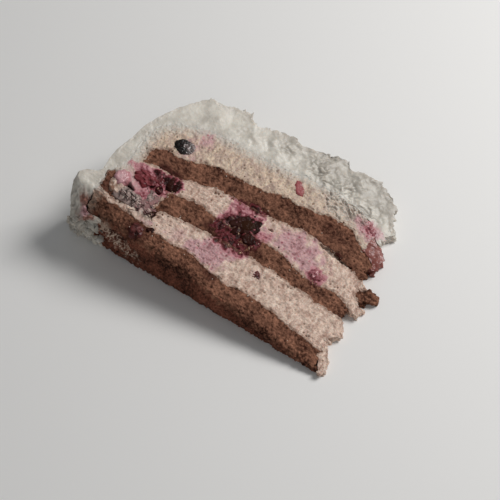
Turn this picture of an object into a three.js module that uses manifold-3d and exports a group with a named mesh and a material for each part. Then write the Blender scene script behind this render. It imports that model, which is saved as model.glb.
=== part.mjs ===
// Forest berry torte: one slice of a round layer torte, lying on its cut side.
// Millimetres, +Z up. The torte's own axis runs along Y, so the cake's top faces +Y and its base -Y.
// The slice runs along X, from its rim at -X to its broken tip at +X.
// Outlines are drawn on the upper cut face: along is measured from the broken tip, less than zero
// towards the rim, and up is measured from the base of the cake through its layers.
import * as THREE from "three";
import { mergeVertices } from "three/addons/utils/BufferGeometryUtils.js";
import Module from "manifold-3d";

const wasm = await Module();
wasm.setup();

// Driving dimensions
const sliceAngle = THREE.MathUtils.degToRad(13.4); // the wedge that was cut from the torte
const axisPastTip = 21; // the torte's axis, past the broken tip
const middleAlong = -55.5; // the middle of the slice, which stands on the origin
const middleUp = 45;
const seam = 0.3; // gap between two pieces that touch
const cornerWear = 0.3; // share of the thickness worn off at the rim's base corner
const wornAlong = [80, 112]; // the wear grows between these distances from the tip
const wornUp = [-4, 8]; // and fades between these heights
const footTuck = 3.4; // how far the coat's foot is drawn in where it meets the plate
const baseTuck = 2.2; // and how far the bottom sponge's base edge is
const tuckedUp = 10; // nothing is drawn in above this height
const pastCut = [-0.2, 1.3]; // turns at which a grown shape ends, outside both cut faces
const cutRoughness = 0.5; // height of the lumps on the cut face
const cutLump = 4; // and their width
const cragDepth = 1.3; // depth of the crags on the whipped cream's outside
const broadCrag = 7; // width of the broad crags
const fineCrag = 3; // and of the fine ones on them
const berryUneven = 0.08; // how much a berry's radius strays, as a share of it
const berryDent = 0.6; // and the width of a dent, for a ball of radius one
const lobeDepth = 0.12; // depth of the creases between a berry's lobes, as a share of its radius
const lobeReach = 1.7; // half width of a lobe, for a berry that has one lobe

// Colours of the sponge, the creams and the fruit
const finishes = {
  sponge: { color: "#6b4836", roughness: 0.9 },
  filling: { color: "#cdb5a4", roughness: 0.7 },
  topFilling: { color: "#cbb7a3", roughness: 0.7 },
  whipped: { color: "#d5d2cb", roughness: 0.6 },
  dark: { color: "#33201f", roughness: 0.3 },
  red: { color: "#8f3c4c", roughness: 0.35 },
  pink: { color: "#b97884", roughness: 0.45 },
  grey: { color: "#8b7f80", roughness: 0.4 },
};

// Outlines on the cut face, each from the rim towards the tip
const baseLine = path([-108.4, 0], [-84, 0], [-40, 0], [8.5, 0]);
const bottomSpongeTop = path([-108.4, 7.3], [-97, 7], [-84, 7.8], [-71, 7.4], [-63, 9.3], [-52, 8],
  [-43, 7.6], [-36, 9.4], [-24, 10], [-10, 9.2], [4.5, 8.4]);
const middleSpongeUnder = path([-84.6, 13.6], [-81, 17], [-72, 19.6], [-62, 21.6], [-44, 24.3],
  [-26, 25.5], [-8, 26.3], [4, 26.2]);
const middleSpongeTop = path([-84.6, 26.6], [-78, 28.8], [-69, 31], [-62, 30], [-50, 31.6], [-36.5, 34.9],
  [-30, 34.4], [-24, 33], [-14, 32.6], [-5, 34.6], [4, 33.2]);
const upperSpongeUnder = path([-101.6, 31.2], [-95, 33.8], [-85, 35.2], [-74, 40.3], [-64, 42.9],
  [-52, 44.3], [-43, 46.5], [-35, 49.2], [-27, 50.2], [-8, 49.8], [1, 46.8]);
const upperSpongeTop = path([-102.6, 37.8], [-99, 42.4], [-89, 44.1], [-84.5, 46.7], [-79, 49.6],
  [-70, 52], [-57, 54.2], [-47, 58.2], [-36, 60.3], [-29, 62.4], [-22, 64.8], [-15.5, 64.9], [-8.5, 61],
  [0.4, 57.6]);
const coatInside = path([-99.5, -0.3], [-104, -0.4], [-108.8, 0.2], [-109, 8], [-109.4, 18.5], [-107.2, 25],
  [-106.6, 33], [-107.8, 43], [-106.8, 49], [-103.6, 54], [-99, 58.3], [-94, 61], [-84, 65.2],
  [-75, 66.8], [-61, 69], [-50, 71.5], [-40, 73.8], [-28, 75], [-17, 75.2], [-11, 73.8], [-4.2, 68]);
const coatOutside = path([-99.5, -1.2], [-105, -2.7], [-112, -3.2], [-117.6, 1.5], [-119.2, 7.2],
  [-117.3, 12.2], [-113.6, 14.9], [-112.2, 16.6], [-113.4, 25], [-112.6, 36], [-111, 50], [-107, 62],
  [-102.6, 71.5], [-100, 76.8], [-94, 79], [-87, 81], [-82, 84], [-75, 80.4], [-70, 83], [-62, 86.3],
  [-54, 85.8], [-45, 89.7], [-35, 92.8], [-29.3, 90.6], [-25, 93.1], [-18.5, 92.8], [-9, 90.4],
  [-5, 84], [-1.2, 78.8], [0.4, 74], [-1.4, 71.2], [-0.8, 66.6]);
const compoteUnder = path([-6.8, 60], [-3.4, 58.6], [0.2, 57], [0.8, 54.2]);
const compoteTop = path([-4.6, 68.4], [-1, 66.1], [1.5, 65], [2.6, 62], [4.3, 56.2], [3, 53.8]);
const rimStripOutside = path([-109.2, 20.4], [-109.2, 13], [-107.8, 9.7], [-103.6, 9], [-98.6, 9.3]);
const rimStripInside = path([-106.5, 20.2], [-106.3, 15], [-105, 12.5], [-102, 11.9], [-98.6, 11.2]);
const crumbUnder = path([2, 40.8], [4.6, 38.3], [6.8, 37.4], [9, 40.6], [12.5, 43.5]);
const crumbTop = path([2, 43.2], [5.4, 44.7], [9, 46], [11.4, 45.6], [12.8, 44.3]);

// Creams fill what the sponges and the coat leave, so these lines lie a little inside those
const lowerCreamUnder = path([-86, 6.8], [-40, 6.4], [3.6, 7.4], [7.2, 3.6], [8.6, -0.1]);
const lowerCreamTop = path([-86, 15.4], [-78, 20.4], [-60, 24.4], [-26, 27.4], [4.4, 26], [6.8, 23.2],
  [8.3, 19.4], [7.8, 17.8], [4.6, 16], [7.6, 11], [8.3, 8.5], [10.9, 3.8], [11.3, 1.6], [10.2, 0]);
const middleCreamUnder = path([-109.2, 6], [-86.4, 6.2], [-83.9, 8.4], [-82.8, 13.4], [-84, 19], [-84, 25],
  [-60, 29], [3.6, 31.4], [8.4, 32.3]);
const middleCreamTop = path([-109.8, 10], [-106, 31.6], [-84, 36.4], [-62, 44.4], [-27, 51.4], [-8, 51],
  [1.8, 47.4], [5, 44], [4.4, 40.4], [7.6, 35.9], [9.5, 35.6]);
const upperCreamUnder = path([-105.9, 29.4], [-101.6, 34], [-98.5, 41], [-84.5, 45.4], [-70, 50.8],
  [-36, 59.2], [-15.5, 63.6], [-6.4, 59]);
const upperCreamTop = path([-108.6, 31.4], [-108.6, 45], [-98, 60.6], [-84, 66.6], [-50, 73], [-17, 76.6],
  [-4, 70]);

// A smooth line through points of the cut face.
function path(...points) {
  const spots = points.map(([along, up]) => new THREE.Vector3(along, up, 0));
  return new THREE.CatmullRomCurve3(spots, false, "centripetal");
}

// The point at a share of a path's length, moved to the path's left, and at either end out past the end.
function beside(line, share, sideways, past) {
  const point = line.getPointAt(share);
  const heading = line.getTangentAt(share);
  const onward = share === 0 ? -past : share === 1 ? past : 0;
  return new THREE.Vector2(
    point.x - heading.y * sideways + heading.x * onward,
    point.y + heading.x * sideways + heading.y * onward,
  );
}

// The share of the thickness that is left where the rim's base corner is worn round.
function wornShare(along, up) {
  const towardsRim = THREE.MathUtils.smoothstep(-along, ...wornAlong);
  const towardsBase = 1 - THREE.MathUtils.smoothstep(up, ...wornUp);
  return 1 - cornerWear * towardsRim * towardsBase;
}

// A point of the slice: turn runs from 0 on the lower cut face to 1 on the upper one, round the axis.
function place(along, up, turn) {
  const radius = (axisPastTip - along) / Math.cos(sliceAngle);
  const angle = turn * sliceAngle;
  const height = radius * Math.sin(angle) * wornShare(along, up);
  const across = axisPastTip - radius * Math.cos(angle);
  return new THREE.Vector3(across - middleAlong, up - middleUp, height);
}

// How far a point near the plate moves up, so that the cake's base edge is worn round there.
function tucked(up, turn, tuck) {
  const low = 1 - THREE.MathUtils.smoothstep(up, 0, tuckedUp);
  return tuck * low * (1 - THREE.MathUtils.clamp(turn, 0, 1)) ** 2;
}

// A repeatable number from 0 to 1 for each corner of a lattice.
function cornerValue(i, j, k) {
  const mixed = Math.sin(i * 127.1 + j * 311.7 + k * 74.7) * 43758.5453;
  return mixed - Math.floor(mixed);
}

// Smooth lumps from -1 to 1: lattice values blended along the three axes.
function lumps(x, y, z) {
  const cell = [Math.floor(x), Math.floor(y), Math.floor(z)];
  const ease = [x - cell[0], y - cell[1], z - cell[2]].map((part) => part * part * (3 - 2 * part));
  let total = 0;
  for (let corner = 0; corner < 8; corner++) {
    const step = [corner & 1, (corner >> 1) & 1, (corner >> 2) & 1];
    const weight = step.reduce((product, one, axis) => product * (one ? ease[axis] : 1 - ease[axis]), 1);
    total += weight * cornerValue(cell[0] + step[0], cell[1] + step[1], cell[2] + step[2]);
  }
  return 2 * total - 1;
}

// Crags of whipped cream: broad lumps with finer ones on them.
function crags(point) {
  const broad = lumps(point.x / broadCrag, point.y / broadCrag, point.z / broadCrag);
  return broad + lumps(point.x / fineCrag, point.y / fineCrag, point.z / fineCrag) / 2;
}

// A layer of the slice: the band between two paths, carried round the torte's axis.
// A grown one is larger by grow on every side, and stands out past both cut faces, to cut its neighbours.
function layer({ lower, upper, steps, rows = 2, turns = 1, crag = 0, tuck = 0 }, grow = 0) {
  const slabs = grow ? turns + 2 : turns;
  const geometry = new THREE.BoxGeometry(1, 1, 1, steps, rows, slabs);
  const corners = geometry.attributes.position;
  for (let i = 0; i < corners.count; i++) {
    const run = THREE.MathUtils.clamp(corners.getX(i) + 0.5, 0, 1);
    const rise = corners.getY(i) + 0.5;
    const slab = Math.round((corners.getZ(i) + 0.5) * slabs);
    const turn = grow ? grownTurn(slab, turns) : slab / turns;
    const spot = beside(lower, run, -grow, grow).lerp(beside(upper, run, grow, grow), rise);
    const point = place(spot.x, spot.y + tucked(spot.y, turn, tuck), turn);
    if (crag && rise === 1) {
      const outward = upper.getTangentAt(run);
      const depth = crag * crags(point);
      point.x -= outward.y * depth;
      point.y += outward.x * depth;
    }
    if (turn === 1 && !grow) {
      point.z += (crag || cutRoughness) * lumps(point.x / cutLump, point.y / cutLump, 0.5);
    }
    corners.setXYZ(i, point.x, point.y, point.z);
  }
  return geometry;
}

// The turn of a grown layer's slab: the first and last stand out past the cut faces.
function grownTurn(slab, turns) {
  if (slab === 0) return pastCut[0];
  if (slab === turns + 2) return pastCut[1];
  return (slab - 1) / turns;
}

// A berry that stands in the cut face: an uneven ball, sunk into the face, with lobes where they are set.
function berry({ spot, size, sink, lobes = 0, across = 12 }, grow = 0) {
  const geometry = new THREE.SphereGeometry(1, across, Math.round(across * 0.7));
  const centre = place(...spot, 1);
  const corners = geometry.attributes.position;
  for (let i = 0; i < corners.count; i++) {
    const ray = new THREE.Vector3(corners.getX(i), -corners.getZ(i), corners.getY(i));
    const lobed = lobes ? 1 - lobeDepth * (1 - lobeHeight(ray, lobes)) : 1;
    const dent = lumps(ray.x / berryDent + spot[0], ray.y / berryDent + spot[1], ray.z / berryDent);
    const swell = lobed * (1 + berryUneven * dent);
    corners.setXYZ(i,
      centre.x + ray.x * (size[0] / 2 + grow) * swell,
      centre.y + ray.y * (size[1] / 2 + grow) * swell,
      Math.max(centre.z - sink + ray.z * (size[2] / 2 + grow) * swell, 0));
  }
  return geometry;
}

// How near a direction is to the middle of one of the lobes, which lie on a spiral over the ball.
function lobeHeight(ray, lobes) {
  const golden = Math.PI * (3 - Math.sqrt(5));
  let nearest = -1;
  for (let lobe = 0; lobe < lobes; lobe++) {
    const level = 1 - (2 * (lobe + 0.5)) / lobes;
    const ring = Math.sqrt(1 - level * level);
    const middle = new THREE.Vector3(Math.cos(lobe * golden) * ring, Math.sin(lobe * golden) * ring, level);
    nearest = Math.max(nearest, ray.dot(middle));
  }
  const reach = Math.cos(lobeReach / Math.sqrt(lobes));
  return THREE.MathUtils.clamp((nearest - reach) / (1 - reach), 0, 1);
}

// A closed mesh as a solid that can be cut.
function solid(geometry) {
  geometry.deleteAttribute("normal");
  geometry.deleteAttribute("uv");
  const merged = mergeVertices(geometry, 1e-4);
  return new wasm.Manifold(new wasm.Mesh({
    numProp: 3,
    vertProperties: new Float32Array(merged.attributes.position.array),
    triVerts: new Uint32Array(merged.index.array),
  }));
}

// The largest of the pieces that a cut leaves.
function largest(shape) {
  return shape.decompose().reduce((best, piece) => (piece.volume() > best.volume() ? piece : best));
}

// A solid as a named mesh.
function mesh(name, shape, finish) {
  const { vertProperties, triVerts } = shape.getMesh();
  const geometry = new THREE.BufferGeometry();
  geometry.setAttribute("position", new THREE.BufferAttribute(vertProperties, 3));
  geometry.setIndex(new THREE.BufferAttribute(triVerts, 1));
  geometry.computeVertexNormals();
  const material = new THREE.MeshStandardMaterial({ ...finishes[finish], metalness: 0 });
  const made = new THREE.Mesh(geometry, material);
  made.name = name;
  return made;
}

// Bands that run through the slice: a strip of sponge by the rim and a crumb at the tip, the sponges, the
// coat of whipped cream, the compote and last the creams
const layers = [
  ["sponge_rim", "sponge", { lower: rimStripOutside, upper: rimStripInside, steps: 12 }],
  ["sponge_crumb", "sponge", { lower: crumbUnder, upper: crumbTop, steps: 8 }],
  ["sponge_bottom", "sponge", {
    lower: baseLine, upper: bottomSpongeTop, steps: 32, turns: 3, tuck: baseTuck,
  }],
  ["sponge_middle", "sponge", { lower: middleSpongeUnder, upper: middleSpongeTop, steps: 28 }],
  ["sponge_upper", "sponge", { lower: upperSpongeUnder, upper: upperSpongeTop, steps: 34 }],
  ["coat", "whipped", {
    lower: coatInside, upper: coatOutside, steps: 80, rows: 3, turns: 3, crag: cragDepth, tuck: footTuck,
  }],
  ["compote_tip", "pink", { lower: compoteUnder, upper: compoteTop, steps: 8 }],
  ["cream_upper", "topFilling", { lower: upperCreamUnder, upper: upperCreamTop, steps: 22 }],
  ["cream_middle", "filling", { lower: middleCreamUnder, upper: middleCreamTop, steps: 24 }],
  ["cream_lower", "filling", { lower: lowerCreamUnder, upper: lowerCreamTop, steps: 34 }],
];

// Berries and bits of fruit, each set in the layers that it crosses
const fruit = [
  ["bramble_centre", "dark", { spot: [-50.7, 34.8], size: [15.4, 14.6, 13], sink: 4, lobes: 26, across: 18 }],
  ["bramble_rim", "dark", { spot: [-85.4, 31.4], size: [6, 9, 8], sink: 2.8, lobes: 16 }],
  ["raspberry_cluster", "red", { spot: [-94, 27.4], size: [14, 11.5, 10], sink: 3.6, lobes: 22, across: 16 }],
  ["raspberry_rim", "pink", { spot: [-103, 19], size: [5.6, 9, 8], sink: 2.8 }],
  ["bilberry_crushed", "grey", { spot: [-92.1, 13.8], size: [14.6, 7.6, 8], sink: 3, across: 14 }],
  ["currant_pale", "grey", { spot: [-88.6, 21.6], size: [5, 5.2, 6], sink: 2 }],
  ["bilberry_upper", "dark", { spot: [-92.6, 49.4], size: [9.2, 8, 8], sink: 2.6, across: 14 }],
  ["currant_lower", "dark", { spot: [-34.3, 19.6], size: [4.6, 4.6, 4.6], sink: 1.4 }],
  ["fruit_piece", "red", { spot: [-43.4, 66.4], size: [4.6, 6.4, 4], sink: 1.2 }],
  ["raspberry_bit", "red", { spot: [-14.8, 36.6], size: [4.6, 6.4, 4], sink: 1.4, lobes: 9 }],
  ["fruit_tip", "red", { spot: [-9.6, 71], size: [7.6, 5, 4], sink: 1.2, lobes: 8 }],
  ["bramble_base", "dark", { spot: [-83.8, 3.4], size: [5.6, 6.6, 6], sink: 1.8, lobes: 12 }],
  ["currant_base", "dark", { spot: [-79.6, 7], size: [3.8, 3.6, 4], sink: 1.2, across: 10 }],
];

// Each piece is cut by the grown shapes of those before it: the fruit first, then the layers
const slice = new THREE.Group();
const grown = [];
function add(name, finish, shape, make) {
  const cut = grown.reduce((left, other) => left.subtract(other), solid(make(shape, 0)));
  slice.add(mesh(name, largest(cut), finish));
  grown.push(solid(make(shape, seam)));
}
for (const [name, finish, shape] of fruit) add(name, finish, shape, berry);
for (const [name, finish, shape] of layers) add(name, finish, shape, layer);

export default slice;
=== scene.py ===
# One slice of a forest berry torte, lying on its cut side.
# Lengths in the dictionaries are millimetres, or metres where a comment says so. Places are given on the
# upper cut face: the first number runs along the slice, less than zero from the broken tip towards the rim,
# and the second one goes up through the layers from the base of the cake.
import math

import bpy
import numpy as np
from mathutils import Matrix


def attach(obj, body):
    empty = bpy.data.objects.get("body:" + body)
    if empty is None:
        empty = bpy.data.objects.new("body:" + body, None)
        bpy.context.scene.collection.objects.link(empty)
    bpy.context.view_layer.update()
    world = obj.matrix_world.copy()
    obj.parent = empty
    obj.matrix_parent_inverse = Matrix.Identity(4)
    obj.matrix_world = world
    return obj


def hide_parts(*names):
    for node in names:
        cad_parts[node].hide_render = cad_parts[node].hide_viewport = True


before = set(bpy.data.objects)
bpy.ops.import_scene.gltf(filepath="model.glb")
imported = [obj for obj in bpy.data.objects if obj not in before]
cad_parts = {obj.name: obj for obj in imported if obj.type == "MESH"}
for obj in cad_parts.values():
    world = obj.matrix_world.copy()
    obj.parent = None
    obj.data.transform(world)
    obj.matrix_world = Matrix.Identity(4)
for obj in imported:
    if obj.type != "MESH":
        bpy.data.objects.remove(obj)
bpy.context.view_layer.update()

print("frame loaded")

torte = {
    "sliceAngle": math.radians(13.4),   # the wedge that was cut from the torte
    "axisPastTip": 21.0,                # the torte's axis, past the broken tip
    "middle": (-55.5, 45.0),            # stands on the origin
    "cornerWear": 0.3,                  # share of the thickness worn off at the rim's base corner
    "wearAlong": (80.0, 112.0),         # where the wear begins and is full on the way to the rim
    "wearUp": (-4.0, 8.0),              # where it is full and where it has gone on the way up
    "gridStep": 0.32,                   # size of the mesh faces on the cut face
    "wander": 0.75,                     # how far the layers' edges stray from their lines
    "wanderSize": 4.4,                  # width of those waves
    "edgeReach": (2.0, 5.0),            # the straying fades between these distances from an edge
    "tear": 1.3,                        # how far the torn tip strays
    "tearSize": (10.0, 3.6, 7.0),
    "footTuck": 3.4,                    # how far the coat's foot is drawn in where it meets the floor
    "floorGap": 0.02,                   # what hangs past the cut stays this far above the floor
}

# Numbers and noise


def smoothStep(low, high, value):
    # 0 at low, 1 at high, and an even S between them; high may be the smaller one
    share = np.clip((value - low) / (high - low), 0.0, 1.0)
    return share * share * (3.0 - 2.0 * share)


def hashCorner(i, j, k, seed):
    # A repeatable number from 0 to 1 for each lattice corner, from mixed whole-number products
    mixed = (i * 374761393 + j * 668265263 + k * 2147483647 + seed * 974711) & 0xFFFFFFFF
    mixed = ((mixed ^ (mixed >> 13)) * 1274126177) & 0xFFFFFFFF
    mixed = ((mixed ^ (mixed >> 16)) * 2246822519) & 0xFFFFFFFF
    return ((mixed ^ (mixed >> 15)) & 0xFFFFFF) / float(0xFFFFFF)


def lumps(points, size, seed=0):
    # Gradient noise from about -1 to 1: each lattice corner has a slope, and the slopes' heights are
    # blended by a quintic ease. size is the width of a lump, one number or one for each axis.
    spot = points / np.asarray(size, float)
    cell = np.floor(spot).astype(np.int64)
    part = spot - cell
    ease = part * part * part * (part * (part * 6.0 - 15.0) + 10.0)
    total = np.zeros(points.shape[:-1])
    for corner in range(8):
        step = np.array([corner & 1, (corner >> 1) & 1, (corner >> 2) & 1])
        i, j, k = np.moveaxis(cell + step, -1, 0)
        around = hashCorner(i, j, k, seed) * 2.0 * np.pi
        level = hashCorner(i, j, k, seed + 91) * 2.0 - 1.0
        ring = np.sqrt(1.0 - level * level)
        away = part - step
        height = (np.cos(around) * away[..., 0] + np.sin(around) * away[..., 1]) * ring + level * away[..., 2]
        total += np.prod(np.where(step == 1, ease, 1.0 - ease), axis=-1) * height
    return total * 1.8


def layeredLumps(points, size, octaves, seed=0, fade=0.5):
    # Lumps of halving size and fading height, added up
    total = 0.0
    for octave in range(octaves):
        finer = np.asarray(size, float) / 2.0 ** octave
        total = total + fade ** octave * lumps(points, finer, seed + 17 * octave)
    return total


def cells(points, size, seed=0):
    # One jittered point in each lattice cell: the distance to the nearest, in cell widths, and a random
    # number that is the same wherever that point is the nearest
    spot = points / np.asarray(size, float)
    cell = np.floor(spot).astype(np.int64)
    nearest = np.full(points.shape[:-1], 9.0)
    mark = np.zeros(points.shape[:-1])
    for step in np.ndindex(3, 3, 3):
        i, j, k = np.moveaxis(cell + np.array(step) - 1, -1, 0)
        centre = np.stack([i + hashCorner(i, j, k, seed), j + hashCorner(i, j, k, seed + 5),
                           k + hashCorner(i, j, k, seed + 11)], -1)
        gap = ((spot - centre) ** 2).sum(-1)
        closer = gap < nearest
        mark = np.where(closer, hashCorner(i, j, k, seed + 23), mark)
        nearest = np.where(closer, gap, nearest)
    return np.sqrt(nearest), mark


def pushed(points, reach, size, seed):
    # Points moved about by soft noise, which takes the regular look off the cells
    return points + reach * np.stack([lumps(points, size, seed + axis) for axis in range(3)], -1)


def creases(points, size, seed):
    # 0 in thin winding creases, where noise passes through zero, and 1 between them
    wound = layeredLumps(pushed(points, 1.2, 4.0, seed + 3), size, 2, seed)
    return smoothStep(0.02, 0.42, np.abs(wound))


# The slice's own coordinates


def wornShare(along, up):
    # One, less the wear that grows towards the rim and towards the base
    towardsRim = smoothStep(*torte["wearAlong"], -along)
    towardsBase = 1.0 - smoothStep(*torte["wearUp"], up)
    return 1.0 - torte["cornerWear"] * towardsRim * towardsBase


def placePoints(spot, turn):
    # Turns a spot of the cut face back round the torte's axis: turn is 1 on the upper cut face, 0 below
    radius = (torte["axisPastTip"] - spot[..., 0]) / math.cos(torte["sliceAngle"])
    angle = turn * torte["sliceAngle"]
    height = radius * np.sin(angle) * wornShare(spot[..., 0], spot[..., 1])
    across = torte["axisPastTip"] - radius * np.cos(angle)
    return np.stack([across - torte["middle"][0], spot[..., 1] - torte["middle"][1], height], -1)


def faceFrame():
    # The upper cut face's own directions: along, up through the layers, and out of the face
    slope = torte["sliceAngle"]
    return np.array([[math.cos(slope), 0.0, -math.sin(slope)], [0.0, 1.0, 0.0],
                     [math.sin(slope), 0.0, math.cos(slope)]])


def smoothLine(knots):
    # A centripetal Catmull-Rom line through the knots, as a function of the share of its length
    knots = np.array(knots, float)
    knots = np.vstack([2.0 * knots[0] - knots[1], knots, 2.0 * knots[-1] - knots[-2]])
    pieces = []
    for i in range(1, len(knots) - 2):
        a, b, c, d = knots[i - 1:i + 3]
        t0, t1, t2, t3 = np.cumsum([0.0] + [math.sqrt(math.dist(p, q)) for p, q in ((a, b), (b, c), (c, d))])
        t = np.linspace(t1, t2, 25)[:, None]
        ab = a + (b - a) * (t - t0) / (t1 - t0)
        bc = b + (c - b) * (t - t1) / (t2 - t1)
        cd = c + (d - c) * (t - t2) / (t3 - t2)
        abc = ab + (bc - ab) * (t - t0) / (t2 - t0)
        bcd = bc + (cd - bc) * (t - t1) / (t3 - t1)
        pieces.append((abc + (bcd - abc) * (t - t1) / (t2 - t1))[min(i - 1, 1):])
    line = np.vstack(pieces)
    length = np.concatenate([[0.0], np.cumsum(np.linalg.norm(np.diff(line, axis=0), axis=1))])

    def at(share):  # the point that far along the line
        want = np.asarray(share) * length[-1]
        return np.stack([np.interp(want, length, line[:, 0]), np.interp(want, length, line[:, 1])], -1)

    at.length = length[-1]
    return at


# Meshes


def addObject(name, data):
    # A new object in the scene that shows the data
    thing = bpy.data.objects.new(name, data)
    bpy.context.scene.collection.objects.link(thing)
    return thing


def makeMesh(name, corners, faces, fields, material, nodes, sharp=None):
    # corners in mm; faces is a list of arrays, each with as many columns as its faces have corners. The
    # shading breaks at edges whose two corners are marked sharp.
    mesh = bpy.data.meshes.new(name)
    mesh.vertices.add(len(corners))
    mesh.vertices.foreach_set("co", (corners * 0.001).astype(np.float32).ravel())
    loops = np.concatenate([part.ravel() for part in faces])
    sizes = np.concatenate([np.full(len(part), part.shape[1]) for part in faces])
    mesh.loops.add(len(loops))
    mesh.loops.foreach_set("vertex_index", loops.astype(np.int32))
    mesh.polygons.add(len(sizes))
    mesh.polygons.foreach_set("loop_start", (np.cumsum(sizes) - sizes).astype(np.int32))
    mesh.polygons.foreach_set("use_smooth", np.ones(len(sizes), bool))
    mesh.update(calc_edges=True)
    if sharp is not None:
        ends = np.empty(2 * len(mesh.edges), np.int32)
        mesh.edges.foreach_get("vertices", ends)
        mesh.edges.foreach_set("use_edge_sharp", sharp[ends].reshape(-1, 2).all(axis=1))
    for key, values in fields.items():
        mesh.attributes.new(name=key, type="FLOAT", domain="POINT").data.foreach_set(
            "value", np.asarray(values, np.float32))
    mesh.materials.append(material)
    piece = addObject(name, mesh)
    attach(piece, "root")
    if nodes:
        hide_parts(*nodes)


def outward(corners, quads):
    # Unit directions out of the surface: each quad's diagonals' cross product, added to its corners
    p = corners[quads]
    square = np.cross(p[:, 2] - p[:, 0], p[:, 3] - p[:, 1])
    total = np.stack([sum(np.bincount(quads[:, k], square[:, axis], len(corners)) for k in range(4))
                      for axis in range(3)], -1)
    return total / np.maximum(np.linalg.norm(total, axis=1, keepdims=True), 1e-9)


def boxLattice(runs, rises, turns):
    # The outside corners of a box's lattice, and the quads between them, all facing out
    shape = (len(runs), len(rises), len(turns))
    outside = np.zeros(shape, bool)
    outside[[0, -1]] = True
    outside[:, [0, -1]] = True
    outside[:, :, [0, -1]] = True
    number = np.full(shape, -1)
    number[outside] = np.arange(outside.sum())
    grids = np.meshgrid(runs, rises, turns, indexing="ij")

    def quads(sheet, flip):     # each four neighbouring corners of a sheet
        loop = np.stack([sheet[:-1, :-1], sheet[1:, :-1], sheet[1:, 1:], sheet[:-1, 1:]], -1).reshape(-1, 4)
        return loop[:, ::-1] if flip else loop

    faces = np.concatenate([
        quads(number[:, :, -1], False), quads(number[:, :, 0], True),
        quads(number[:, 0, :], False), quads(number[:, -1, :], True),
        quads(number[0, :, :], True), quads(number[-1, :, :], False),
    ])
    return [grid[outside] for grid in grids], faces


def ballGrid(rows, columns):
    # Directions all round a ball in rows between two poles, with quads and a fan at each pole
    polar, around = np.meshgrid(np.pi * np.arange(1, rows) / rows, 2.0 * np.pi * np.arange(columns) / columns,
                                indexing="ij")
    ring = np.stack([np.sin(polar) * np.cos(around), np.sin(polar) * np.sin(around), np.cos(polar)], -1)
    directions = np.vstack([ring.reshape(-1, 3), [[0, 0, 1], [0, 0, -1]]])
    number = np.arange((rows - 1) * columns).reshape(rows - 1, columns)
    after = np.roll(number, -1, axis=1)
    quads = np.stack([number[:-1], number[1:], after[1:], after[:-1]], -1).reshape(-1, 4)
    top = np.stack([np.full(columns, number.size), number[0], after[0]], -1)
    bottom = np.stack([np.full(columns, number.size + 1), after[-1], number[-1]], -1)
    return directions, [quads, np.vstack([top, bottom])]


# Stains and gaps on the cut face. Each mark has a centre, half a width and height, and a strength.

juice = {   # thin juice that has run into the creams
    "bramble": ((-53.0, 32.0), (13.5, 14.0), 0.75),
    "bramble, right": ((-41.5, 37.0), (5.0, 5.5), 0.7),
    "lower cream": ((-55.5, 15.0), (11.5, 9.5), 0.85),
    "lower cream, rim": ((-70.0, 12.5), (12.0, 7.5), 0.32),
    "middle cream": ((-27.0, 41.5), (16.0, 10.5), 0.95),
    "under the bramble": ((-51.5, 18.0), (7.5, 8.0), 0.9),
    "raspberry": ((-15.5, 36.0), (6.5, 7.5), 0.7),
    "cluster": ((-96.0, 22.5), (12.0, 9.5), 0.6),
    "crushed bilberry": ((-88.5, 15.5), (6.5, 6.0), 0.4),
    "upper bilberry": ((-90.0, 50.0), (7.5, 6.5), 0.5),
    "blush": ((-88.0, 59.0), (9.0, 6.5), 0.5),
    "fruit piece": ((-43.2, 66.5), (4.2, 4.6), 0.35),
    "upper cream, tip": ((-9.0, 69.5), (10.0, 6.0), 0.85),
    "currant": ((-34.3, 19.6), (3.4, 3.4), 0.3),
    "base bramble": ((-83.5, 9.0), (4.0, 2.5), 0.5),
    "foot": ((-108.4, -0.9), (4.2, 2.2), 1.1),
}
pulp = {    # crushed fruit spread over whatever lies there
    "bramble": ((-51.5, 33.8), (10.8, 9.5), 1.9),
    "bramble, left": ((-58.5, 30.5), (5.4, 7.5), 1.7),
    "bramble, under": ((-51.5, 24.2), (9.5, 5.6), 1.5),
    "bramble, top": ((-57.0, 41.5), (8.5, 4.4), 0.6),
    "bramble, right": ((-41.2, 37.0), (3.6, 4.0), 0.5),
    "over the bramble": ((-51.5, 45.0), (5.0, 2.4), 1.7),
    "cluster": ((-92.5, 25.6), (8.0, 5.2), 1.5),
    "cluster, right": ((-85.6, 31.0), (5.6, 4.6), 2.1),
    "cluster, by the sponge": ((-91.5, 31.2), (7.5, 3.4), 1.4),
    "cluster, top": ((-99.6, 28.0), (8.0, 3.6), 0.62),
    "cluster, under": ((-91.5, 19.0), (7.5, 4.0), 0.6),
    "raspberry": ((-15.0, 36.0), (5.6, 6.2), 1.0),
    "tip": ((-8.5, 70.3), (5.5, 3.2), 0.8),
}
wine = {    # where the sponge is darker: soaked by juice, and broadly at the upper sponge's rim and tip
    "over the bramble": ((-50.5, 45.6), (8.0, 3.0), 1.0),
    "under the upper sponge": ((-17.0, 50.0), (15.0, 2.2), 1.0),
    "middle sponge, left of the bramble": ((-63.0, 25.0), (4.5, 5.0), 0.7),
    "middle sponge, right of the bramble": ((-40.5, 28.0), (3.5, 4.5), 0.6),
    "over the cluster": ((-91.0, 34.8), (9.0, 4.0), 0.9),
    # The next two only make the upper sponge broadly darker towards its rim and its tip.
    "upper sponge, rim": ((-93.0, 39.5), (12.0, 6.0), 0.3),
    "upper sponge, tip": ((-18.0, 58.0), (16.0, 7.0), 0.2),
    "bottom sponge": ((-50.5, 6.5), (7.0, 3.2), 0.6),
    "base bramble": ((-83.6, 3.4), (6.5, 5.0), 0.9),
    "rim": ((-106.0, 12.0), (5.0, 7.0), 0.6),
}
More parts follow.
